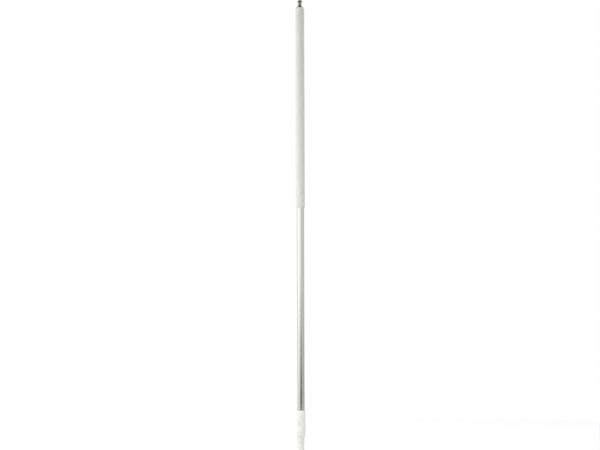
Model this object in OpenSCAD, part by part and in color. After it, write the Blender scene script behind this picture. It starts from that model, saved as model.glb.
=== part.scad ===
// Water-fed tool handle: a fixed-length aluminium pole that carries water from a hose to a screwed-on tool.
// +Z runs up the pole. The origin is the centre of the spigot's end face, where the tool is fitted.
// Every radius is measured from the Z axis, and every height is measured from the origin.

/* [Pole] */
// Overall length, from the spigot's end face to the nipple's mouth
overall_h = 1540; // [1200:1:1900]
// Outer diameter of the aluminium tube
tube_d = 25; // [24:0.1:25.4]
// Wall of the aluminium tube
tube_wall = 1.5; // [1.3:0.1:1.6]

/* [Tool socket] */
// Largest diameter of the socket
socket_d = 31; // [30.6:0.1:33]
// Height of the socket's upper rim
socket_top_z = 135; // [130:0.5:160]
// Height where the socket's shoulder reaches its full diameter
shoulder_z = 50.2; // [49.5:0.1:52]
// Diameter of the plain neck, which pilots the tool
neck_d = 24.2; // [24:0.1:25]
// Major diameter of the tool thread
thread_d = 23.8; // [23.4:0.1:23.9]
// Pitch of the tool thread
thread_pitch = 4.6; // [4:0.1:5.2]
// Radial depth of the tool thread
thread_depth = 0.9; // [0.7:0.05:1]
// Diameter of the water way through the socket
socket_bore_d = 10; // [9.6:0.1:11]

/* [Grip sleeve] */
// Height of the sleeve's lower end
grip_bottom_z = 828; // [400:1:850]
// Diameter of the sleeve just above its rounded lower end
grip_bottom_d = 30.3; // [29.8:0.1:31]
// Diameter of the sleeve at its top
grip_top_d = 29.9; // [29.2:0.1:30]

/* [End plug] */
// Height of the collar's lower face above the grip sleeve, taken down from the nipple's mouth
collar_drop = 43; // [42:0.5:46]
// Diameter of the collar
collar_d = 29.8; // [29:0.1:30]
// Diameter of the water way through the plug
plug_bore_d = 11; // [9.8:0.1:11.5]

/* [Hose nipple] */
// Hexagon size across its flats
hex_af = 19; // [18.6:0.1:19.4]
// Diameter of the ridge that a hose coupling locks behind
ridge_d = 17.3; // [17:0.1:17.5]
// Diameter of the water way through the nipple
nipple_bore_d = 9.5; // [9.2:0.1:9.6]
// Nominal diameter of the nipple's pipe thread, drawn as a plain cylinder
pipe_thread_d = 16.5; // [16.3:0.1:16.6]

/* [Hidden] */
$fn = 96;

tube_r = tube_d / 2;
tube_bore_r = tube_r - tube_wall;
wall_mid_r = tube_r - tube_wall / 2;
play = 0.05;          // radial gap of a spigot in the tube's bore
spigot_r = tube_bore_r - play;
spigot_lead = 1;      // chamfer that leads a spigot into the tube
cut = 1;              // how far a cutting shape runs past the face that it cuts
ring_bed = 0.1;       // how far a stretched O-ring flattens on its groove's floor

// Tube seals, squeezed between their groove and the tube's bore
seal_cord = 1.8;
seal_squeezed = 1.5;
seal_groove_w = 2.2;
seal_groove_r = tube_bore_r - seal_squeezed;

// Retaining pins, one on each side
pin_r = 2;
pin_tip_r = 8.4;      // the pin's inner end, measured from the pole's axis

// Tool socket, from the bottom up
nose_r = thread_d / 2 - thread_depth + 0.45;
nose_h = 5.4;
nose_chamfer = 0.9;
face_ring_r = 8.9;    // middle of the seal ring in the spigot's end face
face_ring_cord = 1.7;
face_groove_w = 2;
face_groove_depth = face_ring_cord - ring_bed;
neck_z = 27;
neck_r = neck_d / 2;
neck_top_z = 39;
rim_h = 6.5;
rim_groove_depth = 0.25;
rim_groove_w = 1.6;
lip_z = 119.8;
lip_r = socket_d / 2 + 0.45;
lip_h = 2.4;
socket_mouth_r = 14.9;
socket_rim_r = 1.2;
tube_seat_z = 64;
inner_spigot_top_z = 92;
socket_pin_z = 70;
socket_ring_z = [79.5, 86.5];

// Blank oval label recess on the front of the socket, turned a little to the left
label_w = 15;
label_h = 21;
label_depth = 0.35;
label_z = 92;
label_turn = -24;

// Tool thread mesh
thread_sides = 36;
thread_steps = 8;     // rings in one pitch
thread_z0 = nose_h - 0.4;
thread_z1 = neck_z + 0.4;
thread_fade = 3;      // height over which the thread runs out at each end

// Grip sleeve
grip_top_z = overall_h - collar_drop;
grip_round = 12;      // height of the rounded lower end
grip_drop = 0.85;     // how much the radius shrinks over that height
grip_edge = 0.8;      // radius of the sleeve's lower edge

// End plug, from the top down
collar_h = 14.5;
collar_chamfer_h = 3.8;
collar_mouth_r = 11.5;
plug_top_z = grip_top_z + collar_h + collar_chamfer_h;
plug_bottom_z = grip_top_z - 42;
plug_pin_z = grip_top_z - 12;
plug_ring_z = [plug_bottom_z + 7, plug_bottom_z + 14];

// Thread insert
insert_r = 10;
insert_h = 11.5;
insert_rib_h = 3.2;
insert_rib_step = 0.6;
pipe_play = 0.08;

// Hose nipple
gasket_t = 1;
hex_z = plug_top_z + gasket_t;
hex_h = 4.3;
hex_corner_r = 10.6;
base_h = 3;
base_r = 8.25;
waist_r = 7;
relief_r = 7.3;
relief_h = 2.5;
pipe_thread_h = 8;
ridge_r = ridge_d / 2;
ridge_z = overall_h - 9.6;
ridge_h = 2.7;
ridge_lead = 1.5;
nose_land_r = 7.4;
lead_r = 6.5;         // plain end of the nose, which leads it into a coupling
lead_h = 3;
nipple_ring_cord = 1.3;
nipple_groove_r = 6.5;
nipple_ring_z = overall_h - 4.9;
nipple_groove_w = 1.6;

// A solid or hollow round shape from an outline of [radius, height] points
module turned(outline) {
    rotate_extrude() polygon(outline);
}

// Straight cylinder on the pole's axis, solid or cut away
module rod(r, z0, z1) {
    translate([0, 0, z0]) cylinder(r = r, h = z1 - z0);
}

// Groove around a spigot, centred on height z, from its floor out to open_r
module ring_groove(floor_r, open_r, z, w) {
    difference() {
        rod(open_r, z - w / 2, z + w / 2);
        rod(floor_r, z - w, z + w);
    }
}

// O-ring in such a groove: its round cord is flattened where it beds on the floor or meets a bore of top_r
module o_ring(floor_r, top_r, z, cord) {
    centre_r = min((floor_r + top_r) / 2, floor_r + cord / 2 - ring_bed);
    translate([0, 0, z]) rotate_extrude() intersection() {
        translate([centre_r, 0]) circle(d = cord, $fn = 48);
        translate([floor_r, -cord]) square([top_r - floor_r, 2 * cord]);
    }
}

// The two radial pins at height z, reaching out to radius r_out
module pin_pair(z, r_out) {
    intersection() {
        for (side = [0, 180])
            rotate([0, 90, side]) translate([-z, 0, pin_tip_r]) cylinder(r = pin_r, h = r_out);
        rod(r_out, z - 2 * pin_r, z + 2 * pin_r);
    }
}

// Holes for the two pins, as deep as their tips
module pin_holes(z) {
    for (side = [0, 180])
        rotate([0, 90, side]) translate([-z, 0, pin_tip_r]) cylinder(r = pin_r, h = socket_d);
}

// Radius of the threaded stretch at an angle and height: a rounded right-hand thread that fades at its ends
function thread_swell(z) = min(1, (z - thread_z0) / thread_fade, (thread_z1 - z) / thread_fade);
function thread_r(angle, z) =
    thread_d / 2 - thread_depth + thread_depth * max(0, thread_swell(z))
        * pow((1 + cos(360 * z / thread_pitch - angle)) / 2, 0.8);

// The threaded stretch as one closed mesh: rings of points, one above the other, between two flat ends
module thread_core() {
    steps = ceil((thread_z1 - thread_z0) / thread_pitch * thread_steps);
    heights = [for (i = [0:steps]) thread_z0 + (thread_z1 - thread_z0) * i / steps];
    points = [for (z = heights, k = [0:thread_sides - 1])
        let (a = 360 * k / thread_sides, r = thread_r(a, z)) [r * cos(a), r * sin(a), z]];
    sides = [for (i = [0:steps - 1], k = [0:thread_sides - 1])
        let (n = thread_sides, a = i * n + k, b = i * n + (k + 1) % n)
            each [[a, a + n, b], [b, a + n, b + n]]];
    ends = [
        [for (k = [0:thread_sides - 1]) k],
        [for (k = [thread_sides - 1:-1:0]) steps * thread_sides + k]
    ];
    polyhedron(points, concat(sides, ends));
}

// Outside of the socket above the thread: neck, shoulder, rim, body, lip, taper and rounded mouth
function socket_outline() = let (
    r = socket_d / 2,
    rim_z = shoulder_z + rim_h,
    turn_z = socket_top_z - socket_rim_r
) concat(
    [[0, neck_z], [neck_r - 0.4, neck_z], [neck_r, neck_z + 0.4], [neck_r, neck_top_z]],
    [[r - 1.3, shoulder_z - 2.4], [r - 0.5, shoulder_z - 1.2]],
    [[r - 0.12, shoulder_z - 0.4], [r, shoulder_z + 0.4]],
    [[r, rim_z], [r - rim_groove_depth, rim_z + 0.4], [r - rim_groove_depth, rim_z + rim_groove_w - 0.4]],
    [[r, rim_z + rim_groove_w], [r, lip_z - lip_h], [lip_r, lip_z - lip_h + 0.3], [lip_r, lip_z]],
    [for (a = [0:15:90])
        [socket_mouth_r - socket_rim_r * (1 - cos(a)), turn_z + socket_rim_r * sin(a)]],
    [[0, socket_top_z]]
);

// Oval recess of even depth, sunk into the socket's round face
module label_recess() {
    face_r = socket_d / 2;
    intersection() {
        rotate([0, 0, label_turn]) translate([0, 0, label_z]) rotate([90, 0, 0])
            linear_extrude(height = socket_d) {
                square([label_w, label_h - label_w], center = true);
                for (side = [-1, 1]) translate([0, side * (label_h - label_w) / 2]) circle(d = label_w);
            }
        difference() {
            rod(face_r + cut, label_z - label_h, label_z + label_h);
            rod(face_r - label_depth, label_z - label_h - cut, label_z + label_h + cut);
        }
    }
}

module tool_socket() {
    color([0.93, 0.93, 0.91]) difference() {
        union() {
            turned(concat(
                [[0, 0], [nose_r - nose_chamfer, 0], [nose_r, nose_chamfer]],
                [[nose_r, nose_h], [0, nose_h]]
            ));
            thread_core();
            turned(socket_outline());
        }
        difference() {
            rod(tube_r, tube_seat_z, socket_top_z + cut);
            turned([
                [0, tube_seat_z - cut], [spigot_r, tube_seat_z - cut],
                [spigot_r, inner_spigot_top_z - spigot_lead],
                [spigot_r - spigot_lead, inner_spigot_top_z], [0, inner_spigot_top_z]
            ]);
        }
        rod(socket_bore_d / 2, -cut, inner_spigot_top_z + cut);
        difference() {
            rod(face_ring_r + face_groove_w / 2, -cut, face_groove_depth);
            rod(face_ring_r - face_groove_w / 2, -2 * cut, face_groove_depth + cut);
        }
        for (z = socket_ring_z) ring_groove(seal_groove_r, wall_mid_r, z, seal_groove_w);
        pin_holes(socket_pin_z);
        label_recess();
    }
}

// Flush with the end face, and flattened where it beds on the floor of its groove
module tool_seal_ring() {
    color([0.12, 0.12, 0.12]) rotate_extrude() intersection() {
        translate([face_ring_r, face_ring_cord / 2]) circle(d = face_ring_cord, $fn = 48);
        square([nose_r, face_groove_depth]);
    }
}

// A seal between a spigot's groove and the tube's bore
module tube_seal(z) {
    color([0.12, 0.12, 0.12]) o_ring(seal_groove_r, tube_bore_r, z, seal_cord);
}

module socket_lower_ring() { tube_seal(socket_ring_z[0]); }

module socket_upper_ring() { tube_seal(socket_ring_z[1]); }

module socket_pins() {
    color([0.78, 0.78, 0.76]) pin_pair(socket_pin_z, socket_d / 2);
}

module main_tube() {
    color([0.8, 0.8, 0.79]) difference() {
        rod(tube_r, tube_seat_z, grip_top_z);
        rod(tube_bore_r, tube_seat_z - cut, grip_top_z + cut);
        pin_holes(socket_pin_z);
        pin_holes(plug_pin_z);
    }
}

// Half section of the sleeve: a slightly tapered wall with a softly rounded lower end
function grip_outline() = let (
    end_r = grip_bottom_d / 2 - grip_drop
) concat(
    [[tube_r, grip_top_z], [tube_r, grip_bottom_z]],
    [for (a = [-90:15:0])
        [end_r - grip_edge + grip_edge * cos(a), grip_bottom_z + grip_edge + grip_edge * sin(a)]],
    [for (s = [1:6]) let (rise = (grip_round - grip_edge) * s / 6)
        [end_r + grip_drop * sin(90 * s / 6), grip_bottom_z + grip_edge + rise]],
    [[grip_top_d / 2, grip_top_z - 0.3], [grip_top_d / 2 - 0.3, grip_top_z]]
);

module grip_sleeve() {
    color([0.86, 0.86, 0.84]) turned(grip_outline());
}

module end_plug() {
    collar_r = collar_d / 2;
    color([0.84, 0.84, 0.82]) difference() {
        turned([
            [0, plug_bottom_z], [spigot_r - spigot_lead, plug_bottom_z],
            [spigot_r, plug_bottom_z + spigot_lead], [spigot_r, grip_top_z],
            [collar_r - 0.3, grip_top_z], [collar_r, grip_top_z + 0.3],
            [collar_r, grip_top_z + collar_h - 0.6], [collar_r - 0.4, grip_top_z + collar_h],
            [collar_mouth_r, plug_top_z], [0, plug_top_z]
        ]);
        rod(plug_bore_d / 2, plug_bottom_z - cut, plug_top_z);
        insert_body();
        for (z = plug_ring_z) ring_groove(seal_groove_r, wall_mid_r, z, seal_groove_w);
        pin_holes(plug_pin_z);
    }
}

module plug_lower_ring() { tube_seal(plug_ring_z[0]); }

module plug_upper_ring() { tube_seal(plug_ring_z[1]); }

module plug_pins() {
    color([0.78, 0.78, 0.76]) pin_pair(plug_pin_z, tube_r);
}

// Outside of the insert: two wide knurled bands with a locking waist between them
module insert_body() {
    waist = insert_r - insert_rib_step;
    z0 = plug_top_z - insert_h;
    turned([
        [0, z0], [insert_r - 0.5, z0], [insert_r, z0 + 0.5], [insert_r, z0 + insert_rib_h],
        [waist, z0 + insert_rib_h], [waist, plug_top_z - insert_rib_h],
        [insert_r, plug_top_z - insert_rib_h], [insert_r, plug_top_z], [0, plug_top_z]
    ]);
}

module thread_insert() {
    floor_t = 0.8;
    z0 = plug_top_z - insert_h;
    color([0.72, 0.6, 0.35]) difference() {
        insert_body();
        rod(plug_bore_d / 2, z0 - cut, plug_top_z);
        rod(pipe_thread_d / 2 + pipe_play, z0 + floor_t, plug_top_z + cut);
    }
}

module nipple_gasket() {
    color([0.15, 0.15, 0.15]) difference() {
        rod(hex_af / 2 + 0.4, plug_top_z, hex_z);
        rod(relief_r + 0.2, plug_top_z - cut, hex_z + cut);
    }
}

// Outside of the nipple above its hexagon: base ring, waist, locking ridge, ring land and lead
function nipple_outline() = let (
    hex_top = hex_z + hex_h,
    base_top = hex_top + base_h
) [
    [0, hex_top - cut], [base_r, hex_top - cut], [base_r, base_top - 0.2], [base_r - 0.2, base_top],
    [waist_r, base_top], [waist_r, ridge_z - ridge_lead], [ridge_r, ridge_z],
    [ridge_r, ridge_z + ridge_h], [nose_land_r, ridge_z + ridge_h + 0.8],
    [nose_land_r, overall_h - 3.6], [lead_r, overall_h - lead_h], [lead_r, overall_h - 0.4],
    [lead_r - 0.4, overall_h], [0, overall_h]
];

// Hexagon with its corners turned down, one flat to the front
module nipple_hexagon() {
    intersection() {
        translate([0, 0, hex_z]) cylinder(d = hex_af / cos(30), h = hex_h, $fn = 6);
        turned([
            [0, hex_z], [hex_af / 2, hex_z], [hex_corner_r, hex_z + 0.6],
            [hex_corner_r, hex_z + hex_h - 0.6], [hex_af / 2, hex_z + hex_h], [0, hex_z + hex_h]
        ]);
    }
}

module hose_nipple() {
    thread_bottom = hex_z - relief_h - pipe_thread_h;
    color([0.6, 0.6, 0.58]) difference() {
        union() {
            turned([
                [0, thread_bottom], [relief_r, thread_bottom],
                [pipe_thread_d / 2, thread_bottom + 0.9], [pipe_thread_d / 2, hex_z - relief_h],
                [relief_r, hex_z - relief_h + 0.5], [relief_r, hex_z + cut], [0, hex_z + cut]
            ]);
            nipple_hexagon();
            turned(nipple_outline());
        }
        rod(nipple_bore_d / 2, thread_bottom - cut, overall_h + cut);
        ring_groove(nipple_groove_r, nose_land_r + cut, nipple_ring_z, nipple_groove_w);
    }
}

module nipple_seal_ring() {
    color([0.12, 0.12, 0.12])
        o_ring(nipple_groove_r, nipple_groove_r + nipple_ring_cord, nipple_ring_z, nipple_ring_cord);
}

tool_socket();
tool_seal_ring();
socket_lower_ring();
socket_upper_ring();
socket_pins();
main_tube();
grip_sleeve();
end_plug();
plug_lower_ring();
plug_upper_ring();
plug_pins();
thread_insert();
nipple_gasket();
hose_nipple();
nipple_seal_ring();
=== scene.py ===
"""Looks of a water-fed tool handle: white tool socket, aluminium tube, grip sleeve and hose nipple.

Nearly every piece is turned around the pole's axis, from an outline of (radius, height) points in
millimetres. The outlines start from the boxes of the CAD nodes that the pieces stand for. Angles are in
radians where their name or comment doesn't say degrees. The camera looks along +Y, so the front of the
pole faces -Y.
"""

import math

import bpy
from mathutils import Matrix, Vector


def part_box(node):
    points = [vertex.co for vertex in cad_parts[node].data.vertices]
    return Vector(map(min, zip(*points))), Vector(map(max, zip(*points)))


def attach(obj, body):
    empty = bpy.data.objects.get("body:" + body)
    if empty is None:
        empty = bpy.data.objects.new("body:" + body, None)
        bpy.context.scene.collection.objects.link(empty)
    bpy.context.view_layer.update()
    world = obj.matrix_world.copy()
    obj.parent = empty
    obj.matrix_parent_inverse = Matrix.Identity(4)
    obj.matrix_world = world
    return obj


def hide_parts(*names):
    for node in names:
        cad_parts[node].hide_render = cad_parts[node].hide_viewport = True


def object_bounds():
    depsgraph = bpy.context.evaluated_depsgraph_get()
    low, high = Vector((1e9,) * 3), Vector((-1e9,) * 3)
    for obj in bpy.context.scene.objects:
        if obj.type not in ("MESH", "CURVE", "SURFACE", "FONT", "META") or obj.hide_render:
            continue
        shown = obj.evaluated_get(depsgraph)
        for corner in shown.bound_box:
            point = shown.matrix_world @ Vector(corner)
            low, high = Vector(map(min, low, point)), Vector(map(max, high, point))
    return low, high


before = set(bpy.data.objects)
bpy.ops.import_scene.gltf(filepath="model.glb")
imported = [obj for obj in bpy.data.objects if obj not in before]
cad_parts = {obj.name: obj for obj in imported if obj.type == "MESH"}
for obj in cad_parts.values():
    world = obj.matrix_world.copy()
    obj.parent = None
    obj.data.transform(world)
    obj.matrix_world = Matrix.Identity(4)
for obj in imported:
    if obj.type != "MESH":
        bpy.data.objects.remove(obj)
CAD_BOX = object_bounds()

MM = 0.001
THREAD_PITCH = 4.6  # the tool thread on the spigot
THREAD_DEPTH = 0.9
THREAD_LOW = 5.6
THREAD_HIGH = 26.8
THREAD_WALL_R = 10.5  # what lies further out there is the spigot's outside
PIPE_PITCH = 1.3368  # the nipple's lift in one turn
PIPE_CREST_R = 8.25
PIPE_ROOT_R = 7.45
PIPE_PLAY = 0.08
PIPE_THREAD_H = 8.0
HEXAGON_H = 4.3
HEXAGON_FLAT_R = 9.5
SOCKET_R = 15.5
SEAT_R = 12.52  # the socket's and the sleeve's bore around the tube
TUBE_BORE_R = 11.0
SPIGOT_R = 10.95
SEAL_FLOOR_R = 9.5
PIN_R = 2.0
PIN_TIP_R = 8.4
LABEL_TURN = math.radians(-114)  # the blank oval label recess, on the front and a little to the left
LABEL_Z = 92.0
LABEL_W = 15.0
LABEL_H = 21.0
LABEL_DEPTH = 0.35
LABEL_REACH = 12.0  # the recess lies within this height of its middle
KNURL_RIDGES = 48  # around the brass insert, in each of the knurl's two directions
KNURL_SLANT = 3.2  # phase in radians per millimetre of height, by which the ridges cross
KNURL_DEPTH = 0.12
PLASTIC_SCATTER = (0.002, 0.0018, 0.0015)  # how deep light goes into white plastic, in metres
SHARP_DEG = 38  # two faces that meet at more than this are shaded with an edge between them


# ---------------------------------------------------------------- measuring and mesh tools


def span(node):
    """(outer radius, lowest height, highest height) of a CAD node, in millimetres."""
    low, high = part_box(node)
    return high.x / MM, low.z / MM, high.z / MM


def middle_z(node):
    """The height of a CAD node's middle, in millimetres."""
    _, low, high = span(node)
    return (low + high) / 2


def rounded(corners, steps=5):
    """A closed outline from corners (radius, height[, fillet]): each fillet becomes an arc."""
    path = []
    for i, corner in enumerate(corners):
        here = Vector(corner[:2])
        if len(corner) == 2:
            path.append(here)
            continue
        before = Vector(corners[i - 1][:2]) - here
        after = Vector(corners[(i + 1) % len(corners)][:2]) - here
        half = before.angle(after) / 2
        reach = min(corner[2] / math.tan(half), 0.49 * before.length, 0.49 * after.length)
        inward = (before.normalized() + after.normalized()).normalized()
        centre = here + inward * reach / math.cos(half)
        start = here + before.normalized() * reach - centre
        end = here + after.normalized() * reach - centre
        turns = [start.slerp(end, s / steps).normalized() for s in range(steps + 1)]
        path += [centre + start.length * turn for turn in turns]
    return path


def split(path, step, z0=-math.inf, z1=math.inf, least_r=0.0):
    """The closed outline, its lines cut to at most step between two heights and outside least_r."""
    cut = []
    for here, there in zip(path, path[1:] + path[:1]):
        inside = min(here.y, there.y) < z1 and max(here.y, there.y) > z0
        fine = inside and min(here.x, there.x) >= least_r
        count = max(1, math.ceil((there - here).length / step)) if fine else 1
        cut += [here.lerp(there, k / count) for k in range(count)]
    return cut


def solid(name, points, faces):
    """A mesh object from points in millimetres, shaded smooth but for its sharp edges."""
    mesh = bpy.data.meshes.new(name)
    mesh.from_pydata([Vector(p) * MM for p in points], [], faces)
    mesh.shade_smooth()
    mesh.set_sharp_from_angle(angle=math.radians(SHARP_DEG))
    obj = bpy.data.objects.new(name, mesh)
    bpy.context.scene.collection.objects.link(obj)
    return obj


def revolve(name, path, sides, shape=None, ring=True):
    """A ring-shaped solid from a closed outline, up its outside and down its inside.

    shape(angle, r, z) gives the radius where the piece isn't plainly round. If it isn't a ring, the
    outline is open, and a flat face closes the piece at each end.
    """
    points = []
    for r, z in path:
        for k in range(sides):
            a = math.tau * k / sides
            here = shape(a, r, z) if shape else r
            points.append((here * math.cos(a), here * math.sin(a), z))
    faces = []
    for i in range(len(path) if ring else len(path) - 1):
        j = (i + 1) % len(path)
        for k in range(sides):
            m = (k + 1) % sides
            faces.append((i * sides + k, i * sides + m, j * sides + m, j * sides + k))
    if not ring:
        top = len(path) * sides
        faces += [tuple(reversed(range(sides))), tuple(range(top - sides, top))]
    return solid(name, points, faces)


def smoothstep(x):
    """Rises gently from 0 to 1 as x goes from 0 to 1, and holds there outside them."""
    x = min(max(x, 0.0), 1.0)
    return x * x * (3 - 2 * x)


def helix(angle, z, pitch):
    """How near a point is to a right-hand thread's crest: 0 in the middle of the root, 1 on the crest."""
    turn = (z / pitch - angle / math.tau) % 1.0
    return 1 - abs(2 * turn - 1)


def thread_height(angle, z, pitch, crest, root):
    """A rounded trapezoid thread's height, 0 to 1: crest and root are the flats' shares of the pitch."""
    return smoothstep((helix(angle, z, pitch) - root) / (1 - crest - root))


def crosswise_pair(name, path, z, sides):
    """Two equal solids that point out along +X and -X at height z, from an open outline along +Z."""
    pair = []
    for side in (-1, 1):
        piece = revolve(name, [Vector(p) for p in path], sides, ring=False)
        outward = Matrix.Rotation(side * math.pi / 2, 4, "Y")
        piece.data.transform(Matrix.Translation((0, 0, z * MM)) @ outward)
        pair.append(piece)
    return pair


def drilled(obj, z, out_r):
    """Cuts the two pin holes at height z, with a slight countersink where they come out at out_r."""
    bore_r, sink_r = PIN_R + 0.03, PIN_R + 0.33
    profile = [(bore_r, PIN_TIP_R), (bore_r, out_r - 0.25), (sink_r, out_r + 0.05), (sink_r, out_r + 2)]
    tools = crosswise_pair("drill", profile, z, 64)
    for tool in tools:
        cut = obj.modifiers.new("pin hole", "BOOLEAN")
        cut.operation = "DIFFERENCE"
        cut.solver = "EXACT"
        cut.object = tool
    bpy.context.view_layer.update()
    shaped = bpy.data.meshes.new_from_object(obj.evaluated_get(bpy.context.evaluated_depsgraph_get()))
    obj.modifiers.clear()
    obj.data = shaped
    for tool in tools:
        bpy.data.objects.remove(tool)
    shaped.shade_smooth()
    shaped.set_sharp_from_angle(angle=math.radians(SHARP_DEG))
    return obj


def dress(obj, material, body, slot, *nodes):
    """Gives a piece its material and its body, and hides the CAD nodes that it stands for; slot is not
    used.
    """
    obj.data.materials.clear()
    obj.data.materials.append(material)
    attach(obj, body)
    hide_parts(*nodes)
    return obj


# ---------------------------------------------------------------- material tools


def add(tree, kind, inputs=None, **settings):
    """Adds a node, sets its fields, then its inputs: a plain value, or another node's output."""
    made = tree.nodes.new(kind)
    for field, value in settings.items():
        setattr(made, field, value)
    for name, value in (inputs or {}).items():
        if isinstance(value, bpy.types.NodeSocket):
            tree.links.new(value, made.inputs[name])
        else:
            made.inputs[name].default_value = value
    return made


def shader(name, **constants):
    """A new material, its node tree and its Principled shader, with constants on the shader's sockets."""
    material = bpy.data.materials.new(name)
    material.use_nodes = True
    tree = material.node_tree
    principled = tree.nodes["Principled BSDF"]
    for socket, value in constants.items():
        principled.inputs[socket.replace("_", " ")].default_value = value
    return material, tree, principled


def noise(tree, scale, stretch=(1, 1, 1), turn=(0, 0, 0), detail=3.0, roughness=0.5):
    """3-D noise in the piece's own metres: scale is features per metre, times stretch on each axis."""
    place = add(tree, "ShaderNodeTexCoord").outputs["Object"]
    fit = add(tree, "ShaderNodeMapping", {"Vector": place, "Scale": stretch, "Rotation": turn})
    inputs = {"Vector": fit.outputs["Vector"], "Scale": scale, "Detail": detail, "Roughness": roughness}
    return add(tree, "ShaderNodeTexNoise", inputs).outputs["Fac"]


def spread(tree, value, low, high, start=0.3, end=0.7):
    """Maps a value between start and end to low to high, and holds it there outside them."""
    inputs = {"Value": value, "From Min": start, "From Max": end, "To Min": low, "To Max": high}
    return add(tree, "ShaderNodeMapRange", inputs).outputs["Result"]


def blended(tree, factor, first, second):
    """A colour between two colours or colour sockets."""
    mix = add(tree, "ShaderNodeMix", data_type="RGBA")
    for socket, value in ((mix.inputs[0], factor), (mix.inputs[6], first), (mix.inputs[7], second)):
        if isinstance(value, bpy.types.NodeSocket):
            tree.links.new(value, socket)
        else:
            socket.default_value = value
    return mix.outputs[2]


def product(tree, first, second):
    """Two values or sockets multiplied."""
    return add(tree, "ShaderNodeMath", {0: first, 1: second}, operation="MULTIPLY").outputs[0]


def total(tree, first, second):
    """Two values or sockets added."""
    return add(tree, "ShaderNodeMath", {0: first, 1: second}, operation="ADD").outputs[0]


def relief(tree, principled, *layers):
    """Bump from (height socket, depth in millimetres) layers, one on top of the other."""
    normal = None
    for height, depth in layers:
        inputs = {"Height": height, "Distance": depth * MM, "Strength": 1.0}
        if normal:
            inputs["Normal"] = normal
        normal = add(tree, "ShaderNodeBump", inputs).outputs["Normal"]
    tree.links.new(normal, principled.inputs["Normal"])


def grey(value, warmth=0.0):
    """A grey colour; warmth lowers its blue."""
    return (value, value, value * (1 - warmth), 1.0)


def radial_grain(tree, principled):
    """Points the shader's anisotropy around the pole."""
    tangent = add(tree, "ShaderNodeTangent", direction_type="RADIAL", axis="Z").outputs["Tangent"]
    tree.links.new(tangent, principled.inputs["Tangent"])


# ---------------------------------------------------------------- materials


def aluminium():
    """Drawn tube, satin anodised: die lines along its length, a few faint scuffs and cloudy patches."""
    material, tree, principled = shader("drawn_aluminium", Metallic=1.0, Anisotropic=0.35)
    fine_lines = noise(tree, 2600, stretch=(1, 1, 0.004), detail=4.0, roughness=0.6)
    broad_lines = noise(tree, 700, stretch=(1, 1, 0.003), detail=2.0)
    clouds = noise(tree, 22, stretch=(1, 1, 0.35), detail=4.0)
    scratches = noise(tree, 900, stretch=(0.12, 1, 1.6), turn=(0.5, 0.3, 0), detail=2)
    scuffs = spread(tree, scratches, 0, 1, 0.66, 0.74)
    tone = total(tree, product(tree, fine_lines, 0.6), product(tree, clouds, 0.4))
    colour = blended(tree, spread(tree, tone, 0, 1, 0.35, 0.65), grey(0.71, 0.02), grey(0.77, 0.012))
    tree.links.new(colour, principled.inputs["Base Color"])
    rough = total(tree, spread(tree, clouds, 0.13, 0.20), product(tree, scuffs, 0.12))
    rough = total(tree, rough, spread(tree, broad_lines, -0.03, 0.03))
    tree.links.new(rough, principled.inputs["Roughness"])
    relief(tree, principled, (broad_lines, 0.006), (fine_lines, 0.003), (scuffs, 0.002))
    radial_grain(tree, principled)
    return material


def grip_plastic():
    """Extruded matt sleeve: fine spark-eroded grain, faint extrusion lines and slight mottling."""
    material, tree, principled = shader("grip_plastic", IOR=1.49, Subsurface_Weight=0.06)
    principled.inputs["Subsurface Radius"].default_value = (0.0012, 0.0011, 0.0009)
    grain = noise(tree, 3600, detail=3.0, roughness=0.6)
    lines = noise(tree, 1500, stretch=(1, 1, 0.004), detail=3.0)
    mottle = noise(tree, 60, stretch=(1, 1, 0.3), detail=5.0)
    handling = noise(tree, 9, detail=3.0)
    tone = total(tree, product(tree, mottle, 0.6), product(tree, grain, 0.4))
    dark, light = (0.738, 0.742, 0.716, 1), (0.778, 0.782, 0.756, 1)
    colour = blended(tree, spread(tree, tone, 0, 1, 0.3, 0.7), dark, light)
    tree.links.new(colour, principled.inputs["Base Color"])
    rough = total(tree, spread(tree, handling, 0.46, 0.56), spread(tree, grain, -0.05, 0.05))
    tree.links.new(rough, principled.inputs["Roughness"])
    relief(tree, principled, (lines, 0.018), (grain, 0.03))
    return material


def moulded_plastic(name, dark, light, shine):
    """Injection-moulded plastic: slight orange peel, flow clouds and a soft sheen."""
    material, tree, principled = shader(name, IOR=1.5, Subsurface_Weight=0.1)
    principled.inputs["Subsurface Radius"].default_value = PLASTIC_SCATTER
    peel = noise(tree, 620, detail=2.0)
    fine = noise(tree, 2800, detail=2.0)
    flow = noise(tree, 45, stretch=(1, 1, 0.5), detail=4.0)
    colour = blended(tree, spread(tree, flow, 0, 1, 0.3, 0.7), dark, light)
    tree.links.new(colour, principled.inputs["Base Color"])
    rough = total(tree, spread(tree, flow, shine, shine + 0.08), spread(tree, fine, -0.03, 0.03))
    tree.links.new(rough, principled.inputs["Roughness"])
    relief(tree, principled, (peel, 0.02), (fine, 0.006))
    return material


def label_floor_painted_shade():
    """The matt, spark-eroded floor of the blank label recess, a shade greyer than what is around it; the
    grey is painted shade.
    """
    material, tree, principled = shader("label_floor_painted_shade", IOR=1.5, Subsurface_Weight=0.1)
    principled.inputs["Subsurface Radius"].default_value = PLASTIC_SCATTER
    sparks = noise(tree, 2600, detail=4.0, roughness=0.7)
    flow = noise(tree, 45, stretch=(1, 1, 0.5), detail=4.0)
    # these tones, darker than the moulding's, are painted shade for the small shadows of the moulded logo
    # that the blank recess replaces
    dark, light = (0.845, 0.85, 0.83, 1), (0.875, 0.88, 0.86, 1)
    colour = blended(tree, spread(tree, flow, 0, 1, 0.3, 0.7), dark, light)
    tree.links.new(colour, principled.inputs["Base Color"])
    tree.links.new(spread(tree, sparks, 0.5, 0.66), principled.inputs["Roughness"])
    relief(tree, principled, (sparks, 0.03))
    return material


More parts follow.
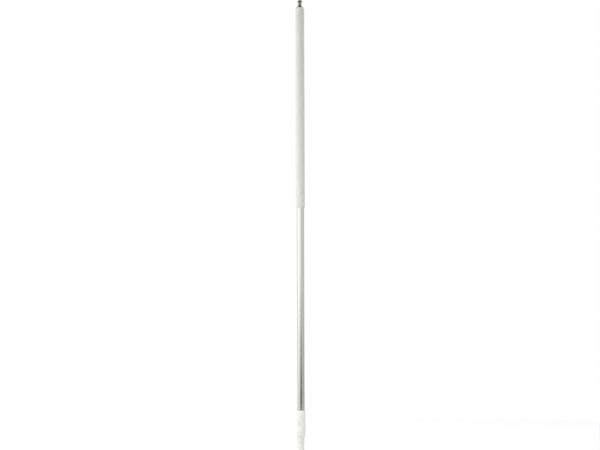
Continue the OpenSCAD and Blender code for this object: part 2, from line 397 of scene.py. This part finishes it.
def turned_steel(name="turned_steel", tone=0.5):
    """Turned steel: fine tool marks around the pole, stained a little in patches."""
    material, tree, principled = shader(name, Metallic=1.0, Anisotropic=0.3)
    marks = noise(tree, 30, stretch=(1, 1, 160), detail=3.0, roughness=0.7)
    stains = noise(tree, 260, detail=4.0)
    tone_mix = total(tree, product(tree, marks, 0.35), product(tree, stains, 0.65))
    shade = spread(tree, tone_mix, 0, 1, 0.35, 0.65)
    colour = blended(tree, shade, grey(tone * 0.88, 0.04), grey(tone * 1.1, 0.02))
    tree.links.new(colour, principled.inputs["Base Color"])
    rough = total(tree, spread(tree, stains, 0.08, 0.17), spread(tree, marks, -0.03, 0.03))
    tree.links.new(rough, principled.inputs["Roughness"])
    relief(tree, principled, (marks, 0.006), (stains, 0.003))
    radial_grain(tree, principled)
    return material


def rubber():
    """Black moulded rubber with a slight bloom."""
    material, tree, principled = shader("black_rubber", IOR=1.5)
    bloom = noise(tree, 700, detail=4.0)
    pores = noise(tree, 5200, detail=2.0)
    colour = blended(tree, spread(tree, bloom, 0, 1), grey(0.018), grey(0.045, 0.05))
    tree.links.new(colour, principled.inputs["Base Color"])
    tree.links.new(spread(tree, bloom, 0.5, 0.68), principled.inputs["Roughness"])
    relief(tree, principled, (pores, 0.006))
    return material


def brass():
    """Machined brass, tarnished in patches."""
    material, tree, principled = shader("machined_brass", Metallic=1.0)
    tarnish = noise(tree, 420, detail=4.0)
    marks = noise(tree, 40, stretch=(1, 1, 120), detail=3.0)
    colour = blended(tree, spread(tree, tarnish, 0, 1), (0.55, 0.38, 0.16, 1), (0.80, 0.63, 0.33, 1))
    tree.links.new(colour, principled.inputs["Base Color"])
    tree.links.new(spread(tree, tarnish, 0.38, 0.22), principled.inputs["Roughness"])
    relief(tree, principled, (marks, 0.005), (tarnish, 0.003))
    return material


# ---------------------------------------------------------------- pieces


def label_sink(angle, z):
    """How far the label recess is sunk at a point of the socket: 0 outside it, 1 inside its soft edge."""
    edge = 0.9
    across = math.remainder(angle - LABEL_TURN, math.tau) * SOCKET_R
    along = max(abs(z - LABEL_Z) - (LABEL_H - LABEL_W) / 2, 0.0)
    return smoothstep((LABEL_W / 2 - math.hypot(across, along)) / edge)


def socket_shape(angle, r, z):
    """The socket's radius with its thread, which fades at both ends, and its label recess."""
    if r > THREAD_WALL_R and THREAD_LOW < z < THREAD_HIGH:
        fade = smoothstep(min((z - THREAD_LOW) / 3, (THREAD_HIGH - z) / 2.6))
        return r + THREAD_DEPTH * fade * thread_height(angle, z, THREAD_PITCH, 0.26, 0.24)
    if r > SOCKET_R - 0.1 and abs(z - LABEL_Z) < LABEL_REACH:
        return r - LABEL_DEPTH * label_sink(angle, z)
    return r


def tool_socket():
    """The lower moulding: threaded spigot, neck, body with the label recess, lip and tube seat."""
    lip_r, foot, top = span("tool_socket")
    body_r, neck_r, root_r, bore_r, seat_z = lip_r - 0.45, 12.1, 11.0, 5.0, 64.0
    nose_r, ring_in, ring_out, ring_floor = 11.45, 7.9, 9.9, 1.6
    face = [(bore_r, foot, 0.4), (ring_in, foot, 0.12), (ring_in, ring_floor, 0.3)]
    face += [(ring_out, ring_floor, 0.3), (ring_out, foot, 0.12)]
    nose = [(nose_r - 0.9, foot, 0.4), (nose_r, foot + 0.9, 0.4), (nose_r, 5.2, 0.3), (root_r, 5.5, 0.2)]
    neck = [(root_r, 26.9, 0.2), (neck_r, 27.0, 0.45), (neck_r, 39.0, 1.5)]
    rim = [(14.2, 47.8, 0.9), (body_r, 50.0, 0.9), (body_r, 56.7, 0.15), (body_r - 0.28, 56.95, 0.12)]
    rim += [(body_r - 0.28, 58.05, 0.12), (body_r, 58.3, 0.15)]
    body = [(body_r, LABEL_Z - LABEL_REACH), (body_r, LABEL_Z + LABEL_REACH)]
    lip = [(body_r, 117.4, 0.15), (lip_r, 117.7, 0.15), (lip_r, 119.8, 0.5)]
    mouth = [(14.9, top, 1.2), (SEAT_R, top, 0.25)]
    slot = [(SEAT_R, seat_z), (SPIGOT_R, seat_z)]
    for z in (79.5, 86.5):
        slot += [(SPIGOT_R, z - 1.1, 0.1), (SEAL_FLOOR_R, z - 1.1, 0.2)]
        slot += [(SEAL_FLOOR_R, z + 1.1, 0.2), (SPIGOT_R, z + 1.1, 0.1)]
    spigot = [(SPIGOT_R, 91.0, 0.3), (SPIGOT_R - 1, 92.0, 0.3), (bore_r, 92.0, 0.4)]
    path = rounded(face + nose + neck + rim + body + lip + mouth + slot + spigot)
    path = split(path, 0.2, THREAD_LOW, THREAD_HIGH, THREAD_WALL_R)
    path = split(path, 0.45, LABEL_Z - LABEL_REACH + 0.2, LABEL_Z + LABEL_REACH - 0.2, SOCKET_R - 0.1)
    path = split(path, 1.5, 60.0, 117.0, SOCKET_R - 0.1)
    moulding = revolve("tool_socket_moulding", path, 252, socket_shape)
    socket = drilled(moulding, middle_z("socket_pins"), body_r)
    dress(socket, moulded_plastic("white_moulding", *WHITE), "handle", "white_plastic", "tool_socket")
    # the label recess floor takes the greyer material, whose darker tone is painted shade
    socket.data.materials.append(label_floor_painted_shade())
    for facet in socket.data.polygons:
        middle = facet.center / MM
        outside = math.hypot(middle.x, middle.y) > SOCKET_R - 0.5
        if outside and label_sink(math.atan2(middle.y, middle.x), middle.z) > 0.6:
            facet.material_index = 1
    return socket


def main_tube():
    """The bare aluminium tube, with its pin holes."""
    r, low, high = span("main_tube")
    path = [(r, low, 0.3), (r, high, 0.3), (TUBE_BORE_R, high, 0.3), (TUBE_BORE_R, low, 0.3)]
    tube = revolve("drawn_tube", split(rounded(path), 40), 192)
    for node in ("socket_pins", "plug_pins"):
        drilled(tube, middle_z(node), r)
    return dress(tube, aluminium(), "handle", "aluminium", "main_tube")


def grip_sleeve():
    """The long matt sleeve on the tube."""
    full_r, low, high = span("grip_sleeve")
    bore_r, top_r, swell, swell_h, edge = SEAT_R + 0.03, 14.95, 0.85, 12.0, 0.8
    end_r = full_r - swell
    foot = [(bore_r, low, 0.3), (end_r, low, edge)]
    rises = []
    for s in range(9):
        rise = (swell_h - edge) * s / 8
        rises.append((end_r + swell * math.sin(math.pi / 2 * s / 8), low + edge + 0.3 + rise))
    head = [(top_r, high, 0.35), (bore_r, high, 0.3)]
    sleeve = revolve("grip_sleeve_skin", split(rounded(foot + rises + head), 40), 192)
    return dress(sleeve, grip_plastic(), "handle", "grip_plastic", "grip_sleeve")


def end_plug():
    """The plug in the top of the tube, with its collar, seal grooves and pin holes."""
    collar_r, low, top = span("end_plug")
    face = span("grip_sleeve")[2]
    insert_r, insert_low, _ = span("thread_insert")
    pin_z = middle_z("plug_pins")
    shank = [(5.5, low, 0.4), (SPIGOT_R - 1, low, 0.3), (SPIGOT_R, low + 1, 0.3)]
    for z in (low + 7, low + 14):
        shank += [(SPIGOT_R, z - 1.1, 0.1), (SEAL_FLOOR_R, z - 1.1, 0.2)]
        shank += [(SEAL_FLOOR_R, z + 1.1, 0.2), (SPIGOT_R, z + 1.1, 0.1)]
    shank += [(SPIGOT_R, pin_z - 5), (SPIGOT_R, pin_z + 5), (SPIGOT_R, face, 0.1)]
    collar = [(collar_r, face, 0.35), (collar_r, face + 14.4, 0.9), (11.5, top, 0.5)]
    seat = [(insert_r, top, 0.1), (insert_r, top - 3.2), (9.4, top - 3.2), (9.4, insert_low + 3.2)]
    seat += [(insert_r, insert_low + 3.2), (insert_r, insert_low), (5.5, insert_low)]
    path = split(rounded(shank + collar + seat), 2.0, pin_z - 7, pin_z + 7, 10.0)
    plug = drilled(revolve("end_plug_moulding", path, 192), pin_z, SPIGOT_R)
    return dress(plug, moulded_plastic("plug_moulding", *PLUG), "handle", "plug_plastic", "end_plug")


def insert_shape(angle, r, z):
    """The insert's radius: diamond knurl outside, and inside the pipe thread that the nipple runs in."""
    if r > 9.6:
        around, up = KNURL_RIDGES / 2 * angle, KNURL_SLANT * z
        return r - KNURL_DEPTH * (abs(math.sin(around + up)) + abs(math.sin(around - up)))
    if 8.2 < r < 8.4:
        return r - (PIPE_CREST_R - PIPE_ROOT_R) * (1 - thread_height(angle, z, PIPE_PITCH, 0.2, 0.14))
    return r


def thread_insert():
    """The knurled brass insert in the plug."""
    r, low, high = span("thread_insert")
    wall_r = PIPE_CREST_R + PIPE_PLAY
    outside = [(5.5, low), (r - 0.5, low), (r, low + 0.5), (r, low + 3.2, 0.15), (9.4, low + 3.2, 0.15)]
    outside += [(9.4, high - 3.2, 0.15), (r, high - 3.2, 0.15), (r, high, 0.2)]
    inside = [(wall_r, high), (wall_r, low + 0.8), (5.5, low + 0.8)]
    path = split(rounded(outside + inside), 0.06, low + 0.9, high - 0.05, 8.2)
    insert = revolve("knurled_insert", path, 192, insert_shape)
    return dress(insert, brass(), "handle", "brass", "thread_insert")


def nipple_shape(low, hex_z):
    """The shape of the pipe thread above low and the hexagon above hex_z, with a flat to the front."""
    thread_top = low + PIPE_THREAD_H
    depth = PIPE_CREST_R - PIPE_ROOT_R

    def shape(angle, r, z):
        if r > PIPE_ROOT_R - 0.05 and z < thread_top + 0.01:
            fade = smoothstep(min((z - low - 0.5) / 0.9, (thread_top - z) / 0.9))
            return r + depth * fade * thread_height(angle, z, PIPE_PITCH, 0.14, 0.2)
        if -0.1 < z - hex_z < HEXAGON_H + 0.05 and r > PIPE_CREST_R + 0.1:
            flat = math.remainder(angle - math.pi / 2, math.pi / 3)
            return min(r, HEXAGON_FLAT_R / math.cos(flat))
        return r

    return shape


def hose_nipple():
    """The nipple: pipe thread, hexagon, base, waist, ridge, seal groove and nose."""
    _, low, top = span("hose_nipple")
    hex_z = span("nipple_gasket")[2]
    hex_top, base_top, ridge_z = hex_z + HEXAGON_H, hex_z + HEXAGON_H + 3.0, top - 9.6
    bore_r, waist_r, ridge_r, land_r, floor_r, lead_r = 4.75, 7.0, 8.65, 7.4, 6.5, 6.5
    thread_top = low + PIPE_THREAD_H
    stem = [(bore_r, low, 0.3), (PIPE_ROOT_R - 0.5, low, 0.1), (PIPE_ROOT_R, low + 0.5, 0.1)]
    stem += [(PIPE_ROOT_R, thread_top), (7.3, thread_top + 0.15, 0.1), (7.3, hex_z, 0.2)]
    hexagon = [(9.45, hex_z, 0.1), (10.6, hex_z + 0.62, 0.15)]
    hexagon += [(10.6, hex_top - 0.62, 0.15), (9.45, hex_top, 0.1)]
    base = [(8.25, hex_top, 0.25), (8.25, base_top, 0.2), (waist_r, base_top, 0.3)]
    ridge = [(waist_r, ridge_z - 1.5, 0.5), (ridge_r, ridge_z, 0.3), (ridge_r, ridge_z + 2.7, 0.35)]
    groove = [(land_r, ridge_z + 3.5, 0.3), (land_r, top - 5.7, 0.12), (floor_r, top - 5.7, 0.25)]
    groove += [(floor_r, top - 4.1, 0.25), (land_r, top - 4.1, 0.12)]
    nose = [(land_r, top - 3.6, 0.2), (lead_r, top - 3.0, 0.2), (lead_r, top, 0.45), (bore_r, top, 0.4)]
    path = rounded(stem + hexagon + base + ridge + groove + nose)
    path = split(path, 0.06, low + 0.4, thread_top, PIPE_ROOT_R - 0.05)
    path = split(path, 0.12, hex_z, hex_top, PIPE_CREST_R + 0.05)
    nipple = revolve("hose_nipple_turned", path, 216, nipple_shape(low, hex_z))
    return dress(nipple, turned_steel(), "nipple", "steel", "hose_nipple")


def seal_ring(node, name, body, thickness, material):
    """An O-ring as it sits in its groove: flattened inside and outside, with a fine moulding line."""
    r, low, high = span(node)
    middle, soft = middle_z(node), 0.46 * min(thickness, high - low)
    line = [(r, middle - 0.09, 0.05), (r + 0.03, middle, 0.03), (r, middle + 0.09, 0.05)]
    inner = [(r - thickness, high, soft), (r - thickness, low, soft)]
    corners = [(r, low, soft)] + line + [(r, high, soft)] + inner
    ring = revolve(name, rounded(corners, 6), 144)
    return dress(ring, material, body, "rubber", node)


def nipple_gasket(material):
    """A flat washer that bulges a little at its edge, where the nipple squeezes it."""
    r, low, high = span("nipple_gasket")
    inner = 7.5
    corners = [(r, low, 0.2), (r + 0.08, middle_z("nipple_gasket"), 0.4), (r, high, 0.2)]
    corners += [(inner, high, 0.2), (inner, low, 0.2)]
    gasket = revolve("nipple_gasket_disc", rounded(corners), 144)
    return dress(gasket, material, "gasket", "rubber", "nipple_gasket")


def pins(node, name, material):
    """Two retaining pins with chamfered inner ends and slightly domed heads, joined in one piece."""
    head_r = span(node)[0]
    path = [(PIN_R - 0.3, PIN_TIP_R), (PIN_R, PIN_TIP_R + 0.3)]
    for s in range(6):
        a = math.pi / 2 * s / 6
        path.append((PIN_R * math.cos(a), head_r - 0.35 + 0.3 * math.sin(a)))
    both = crosswise_pair(name, path, middle_z(node), 48)
    with bpy.context.temp_override(active_object=both[0], selected_editable_objects=both):
        bpy.ops.object.join()
    return dress(both[0], material, "handle", "steel", node)


# ---------------------------------------------------------------- studio


def white_world():
    """Plain white all round for the camera, and a softer white as light from above the tent."""
    world = bpy.data.worlds.new("studio")
    bpy.context.scene.world = world
    world.use_nodes = True
    tree = world.node_tree
    light = tree.nodes["Background"]
    light.inputs["Color"].default_value = (1.0, 0.995, 0.985, 1)
    light.inputs["Strength"].default_value = SKY_LIGHT
    seen = add(tree, "ShaderNodeBackground", {"Color": (1, 1, 1, 1), "Strength": 1.0})
    path = add(tree, "ShaderNodeLightPath")
    inputs = {0: path.outputs["Is Camera Ray"], 1: light.outputs[0], 2: seen.outputs[0]}
    mix = add(tree, "ShaderNodeMixShader", inputs)
    tree.links.new(mix.outputs[0], tree.nodes["World Output"].inputs["Surface"])


def glow(name):
    """A new material with a plain emission shader, and its tree."""
    material = bpy.data.materials.new(name)
    material.use_nodes = True
    tree = material.node_tree
    tree.nodes.remove(tree.nodes["Principled BSDF"])
    emission = add(tree, "ShaderNodeEmission")
    tree.links.new(emission.outputs[0], tree.nodes["Material Output"].inputs["Surface"])
    return material, tree, emission


def brightness_ramp(tree, factor, stops):
    """Grey levels at angles around the pole: degrees from the front, positive to the camera's right."""
    ramp = add(tree, "ShaderNodeValToRGB", {"Fac": factor})
    ramp.color_ramp.interpolation = "EASE"
    marks = ramp.color_ramp.elements
    while len(marks) < len(stops):
        marks.new(0.5)
    for mark, (degrees, level) in zip(marks, stops):
        mark.position = 0.5 + degrees / 360
        mark.color = (level, level * 0.998, level * 0.985, 1)
    return ramp.outputs["Color"]


def circle(radius, z):
    """Points around the pole's axis in millimetres, from a radius and a height in metres."""
    turns = [math.tau * k / STAGE_SIDES for k in range(STAGE_SIDES)]
    return [(radius / MM * math.cos(a), radius / MM * math.sin(a), z / MM) for a in turns]


def light_tent():
    """The studio's wrap of white cloth: bright on the left, greyer on the right, dark low in front."""
    faces = []
    for k in range(STAGE_SIDES):
        m = (k + 1) % STAGE_SIDES
        faces.append((k, m, STAGE_SIDES + m, STAGE_SIDES + k))
    tent = solid("light_tent", circle(TENT_R, 0.0) + circle(TENT_R, TENT_TOP), faces)
    material, tree, emission = glow("tent_cloth")
    place = add(tree, "ShaderNodeTexCoord").outputs["Object"]
    parts = add(tree, "ShaderNodeSeparateXYZ", {"Vector": place}).outputs
    back = product(tree, parts["Y"], -1.0)
    turn = add(tree, "ShaderNodeMath", {0: parts["X"], 1: back}, operation="ARCTAN2").outputs[0]
    factor = spread(tree, turn, 0.0, 1.0, -math.pi, math.pi)
    shade = brightness_ramp(tree, factor, list(zip(TENT_TURNS, TENT_BANDS[0])))
    for (start, end), levels in zip(TENT_RISES, TENT_BANDS[1:]):
        band = brightness_ramp(tree, factor, list(zip(TENT_TURNS, levels)))
        shade = blended(tree, spread(tree, parts["Z"], 0.0, 1.0, start, end), shade, band)
    tree.links.new(shade, emission.inputs["Color"])
    emission.inputs["Strength"].default_value = TENT_LIGHT
    tent.data.materials.append(material)
    tent.visible_camera = False


def lamp(name, turn_deg, aim_z, power, cone_deg, softness):
    """A soft spotlight above the tent, at an angle from the front, that points at the pole at aim_z."""
    data = bpy.data.lights.new(name, "SPOT")
    data.energy = power
    data.color = (1.0, 0.995, 0.98)
    data.spot_size = math.radians(cone_deg)
    data.spot_blend = 1.0
    data.shadow_soft_size = softness
    made = bpy.data.objects.new(name, data)
    turn = math.radians(turn_deg)
    made.location = (LAMP_AWAY * math.sin(turn), -LAMP_AWAY * math.cos(turn), LAMP_HEIGHT)
    aim = Vector((0, 0, aim_z)) - made.location
    made.rotation_euler = aim.to_track_quat("-Z", "Y").to_euler()
    bpy.context.scene.collection.objects.link(made)


def lamps():
    """A big soft key high on the left, and a narrow soft fill from the right for the white socket."""
    lamp("key", -42, 0.2, KEY_POWER, 20, 0.8)
    lamp("socket_fill", 48, 0.05, FILL_POWER, 12, 0.5)


def disc(name, radius, z, material):
    """A flat round part of the stage, at height z in metres."""
    made = solid(name, circle(radius, z), [tuple(range(STAGE_SIDES))])
    made.data.materials.append(material)
    return made


def floor():
    """A pale floor that the camera sees, and a card that throws up the light of a white floor."""
    material, tree, principled = shader("pale_floor", Roughness=0.9, Emission_Strength=FLOOR_WHITE)
    principled.inputs["Emission Color"].default_value = (1, 1, 1, 1)
    speck = noise(tree, 4.0, detail=2.0)
    colour = blended(tree, spread(tree, speck, 0, 1), grey(0.19), grey(0.21))
    tree.links.new(colour, principled.inputs["Base Color"])
    seen = disc("floor", TENT_R, -0.0005, material)
    seen.visible_diffuse = False
    seen.visible_glossy = False
    seen.visible_shadow = False
    bounce, _, emission = glow("floor_bounce")
    emission.inputs["Color"].default_value = (1, 0.998, 0.985, 1)
    emission.inputs["Strength"].default_value = FLOOR_LIGHT
    card = disc("floor_bounce", TENT_R, -0.001, bounce)
    card.visible_camera = False


def camera():
    """A long lens far in front, level with the pole's middle: the pole fills the picture's height."""
    lens, sensor, aspect = 200.0, 36.0, 600 / 450
    bottom, top = CAD_BOX[0].z, CAD_BOX[1].z
    distance = (top - bottom) * lens / (sensor / aspect)
    data = bpy.data.cameras.new("camera")
    data.lens = lens
    data.sensor_width = sensor
    data.clip_start = 0.1
    data.clip_end = 200
    eye = bpy.data.objects.new("camera", data)
    eye.location = (SIDE_STEP, -distance, (bottom + top) / 2)
    eye.rotation_euler = Matrix.Rotation(math.radians(90), 3, "X").to_euler()
    eye.rotation_euler.rotate_axis("Z", math.radians(CAMERA_ROLL))
    bpy.context.scene.collection.objects.link(eye)
    bpy.context.scene.camera = eye
    bpy.context.scene.view_settings.view_transform = "Standard"


# ---------------------------------------------------------------- the scene

# dark tone, light tone and least roughness of the two moulded plastics
WHITE = ((0.925, 0.93, 0.908, 1), (0.955, 0.96, 0.94, 1), 0.30)
PLUG = ((0.755, 0.76, 0.733, 1), (0.795, 0.80, 0.773, 1), 0.32)

# the studio: sizes in metres, light levels, and the lamps' power in watts
STAGE_SIDES = 96
TENT_R = 2.0
TENT_TOP = 2.85
LAMP_AWAY = 3.3
LAMP_HEIGHT = 5.2
SKY_LIGHT = 0.4
FLOOR_LIGHT = 0.7
FLOOR_WHITE = 0.83
TENT_LIGHT = 2.0
KEY_POWER = 800.0
FILL_POWER = 290.0

# the tent's grey levels, in bands one above the other, at angles around the pole in degrees from the
# front; each band but the first fades in between two heights. These levels and the sky, floor and lamp
# levels above began as another program's least-squares fit to the pole's grey levels in the photograph,
# were halved or rounded, and were then changed by hand in part
TENT_TURNS = (-150, -105, -63, -27, -1, 35, 70, 116, 155)
TENT_RISES = ((0.06, 0.57), (0.85, 1.1), (1.44, 1.58), (1.78, 2.0))
TENT_BANDS = (
    (0.45, 0.35, 0.60, 0.25, 0.02, 0.10, 0.37, 0.09, 0.30),  # mirrored in the tube just above the socket
    (0.35, 0.55, 0.72, 0.62, 0.50, 0.34, 0.38, 0.33, 0.20),  # mirrored in the upper part of the tube
    (0.15, 0.95, 1.00, 0.75, 0.50, 0.44, 0.36, 0.46, 0.10),  # beside the sleeve
    (0.45, 0.75, 0.38, 0.05, 0.01, 0.08, 0.56, 0.98, 0.50),  # mirrored in the nipple
    (0.10, 0.60, 0.60, 0.10, 0.05, 0.30, 0.20, 0.80, 0.10),  # above the pole
)

SIDE_STEP = -0.0014  # the camera stands this far to the left of the pole, in metres
CAMERA_ROLL = -0.16  # degrees

tool_socket()
main_tube()
grip_sleeve()
end_plug()
thread_insert()
hose_nipple()
BLACK = rubber()
PIN_STEEL = turned_steel("pin_steel", 0.62)
nipple_gasket(BLACK)
seal_ring("tool_seal_ring", "tool_seal_ring_moulded", "handle", 1.7, BLACK)
seal_ring("nipple_seal_ring", "nipple_seal_ring_moulded", "nipple", 1.2, BLACK)
for place in ("socket_lower", "socket_upper", "plug_lower", "plug_upper"):
    seal_ring(place + "_ring", place + "_ring_moulded", "handle", 1.5, BLACK)
pins("socket_pins", "socket_pins_turned", PIN_STEEL)
pins("plug_pins", "plug_pins_turned", PIN_STEEL)

white_world()
light_tent()
lamps()
floor()
camera()
